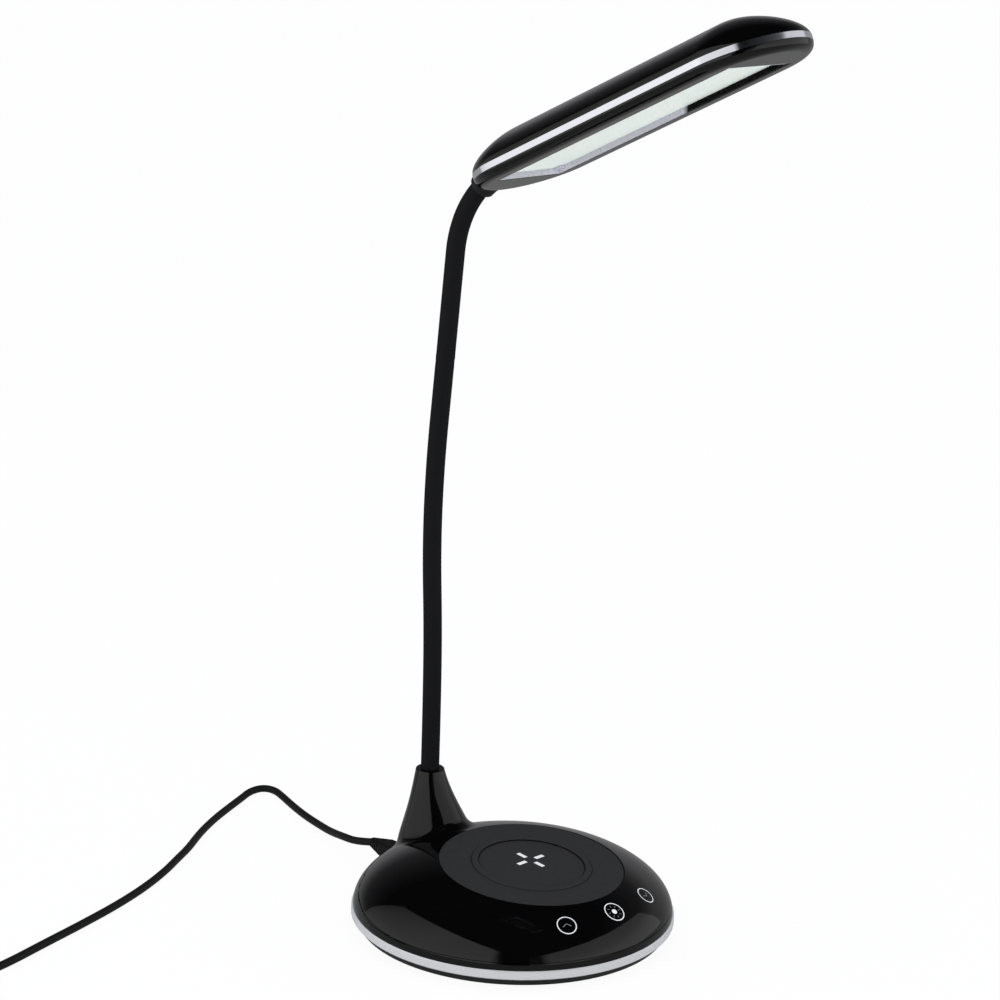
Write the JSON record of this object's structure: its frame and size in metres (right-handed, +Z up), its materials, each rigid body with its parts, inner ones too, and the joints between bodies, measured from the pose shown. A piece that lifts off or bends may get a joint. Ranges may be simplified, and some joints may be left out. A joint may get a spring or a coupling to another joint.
{
  "type": "gooseneck desk lamp",
  "caption": "Gooseneck desk lamp with a domed charging base, a flexible neck, a long slim LED head and a USB lead.",
  "frame": {"origin": "centre of the round foot's face, on the desk", "axes": "+Z up from the desk, +X to the front, the way the head points, +Y to the left"},
  "size_m": [0.3911, 0.3913, 0.4854],
  "materials": {
    "gloss_black": "polished black ABS",
    "satin_black": "satin black",
    "silver_ring": "satin silver",
    "plated_strip": "bright plated",
    "silver_frame": "satin silver",
    "pad_grey": "soft matte grey",
    "foot_rubber": "matte black",
    "steel": "zinc plated",
    "nickel": "nickel plated",
    "conduit_steel": "bare wound steel",
    "copper": "enamelled copper wire",
    "ferrite": "matte ferrite",
    "board_green": "solder mask",
    "board_white": "white solder mask",
    "component_black": "moulded black",
    "contact_foam": "conductive foam",
    "led_phosphor": "phosphor yellow",
    "tray_white": "white reflector",
    "diffuser_white": "frosted white",
    "sleeve_silicone": "matte silicone",
    "lead_black": "satin PVC",
    "tie_black": "satin"
  },
  "bodies": {
    "base": {"base_cover": "gloss_black", "base_rim": "gloss_black", "trim_ring": "silver_ring", "base_pan": "satin_black", "foot_pad": "foot_rubber", "weight_plate": "steel", "cover_screws": "steel", "weight_screws": "steel", "charging_pad": "pad_grey", "charging_coil": "copper", "coil_ferrite": "ferrite", "coil_carrier": "satin_black", "carrier_screws": "steel", "main_board": "board_green", "board_parts": "component_black", "socket_board": "board_green", "usb_socket": "nickel", "touch_board": "board_green", "touch_contacts": "contact_foam", "board_screws": "steel", "neck_ferrule": "steel", "neck_nut": "steel", "neck_core_0": "conduit_steel", "neck_sleeve_0": "sleeve_silicone"},
    "neck_1": {"neck_core_1": "conduit_steel", "neck_sleeve_1": "sleeve_silicone"},
    "neck_2": {"neck_core_2": "conduit_steel", "neck_sleeve_2": "sleeve_silicone"},
    "neck_3": {"neck_core_3": "conduit_steel", "neck_sleeve_3": "sleeve_silicone"},
    "neck_4": {"neck_core_4": "conduit_steel", "neck_sleeve_4": "sleeve_silicone"},
    "neck_5": {"neck_core_5": "conduit_steel", "neck_sleeve_5": "sleeve_silicone"},
    "neck_6": {"neck_core_6": "conduit_steel", "neck_sleeve_6": "sleeve_silicone"},
    "neck_7": {"neck_core_7": "conduit_steel", "neck_sleeve_7": "sleeve_silicone"},
    "head": {"neck_core_8": "conduit_steel", "neck_sleeve_8": "sleeve_silicone", "neck_collar": "satin_black", "upper_ferrule": "steel", "head_cover": "gloss_black", "head_strip": "plated_strip", "head_bezel": "gloss_black", "window_frame": "silver_frame", "diffuser": "diffuser_white", "light_tray": "tray_white", "led_board": "board_white", "led_chips": "led_phosphor", "led_screws": "steel"},
    "usb_lead": {"plug_body": "lead_black", "plug_shell": "nickel", "lead_cable": "lead_black", "lead_coil": "lead_black", "coil_tie": "tie_black", "lead_tail": "lead_black", "usb_a_body": "lead_black", "usb_a_shell": "nickel"}
  },
  "joints": [
    {"name": "neck_bend_0", "type": "hinge", "parent": "base", "child": "neck_1", "pos_m": [-0.0651, 0, 0.077], "axis": [0, 1, 0], "range_deg": [-15, 15], "deforming": ["neck_sleeve_1"]},
    {"name": "neck_bend_1", "type": "hinge", "parent": "neck_1", "child": "neck_2", "pos_m": [-0.0655, 0, 0.1226], "axis": [1, 0, 0], "range_deg": [-15, 15], "deforming": ["neck_sleeve_2"]},
    {"name": "neck_bend_2", "type": "hinge", "parent": "neck_2", "child": "neck_3", "pos_m": [-0.06737, 0, 0.16815], "axis": [0, 1, 0], "range_deg": [-15, 15], "deforming": ["neck_sleeve_3"]},
    {"name": "neck_bend_3", "type": "hinge", "parent": "neck_3", "child": "neck_4", "pos_m": [-0.0684, 0, 0.21373], "axis": [1, 0, 0], "range_deg": [-15, 15], "deforming": ["neck_sleeve_4"]},
    {"name": "neck_bend_4", "type": "hinge", "parent": "neck_4", "child": "neck_5", "pos_m": [-0.06586, 0, 0.25925], "axis": [0, 1, 0], "range_deg": [-15, 15], "deforming": ["neck_sleeve_5"]},
    {"name": "neck_bend_5", "type": "hinge", "parent": "neck_5", "child": "neck_6", "pos_m": [-0.06172, 0, 0.30466], "axis": [1, 0, 0], "range_deg": [-15, 15], "deforming": ["neck_sleeve_6"]},
    {"name": "neck_bend_6", "type": "hinge", "parent": "neck_6", "child": "neck_7", "pos_m": [-0.05767, 0, 0.35008], "axis": [0, 1, 0], "range_deg": [-15, 15], "deforming": ["neck_sleeve_7"]},
    {"name": "neck_bend_7", "type": "hinge", "parent": "neck_7", "child": "head", "pos_m": [-0.05103, 0, 0.37172], "axis": [0, 1, 0], "range_deg": [-15, 15], "deforming": ["neck_sleeve_8"]},
    {"name": "usb_plug_pull", "type": "slide", "parent": "base", "child": "usb_lead", "axis": [-1, 0, 0], "range_m": [0, 0.01]}
  ]
}
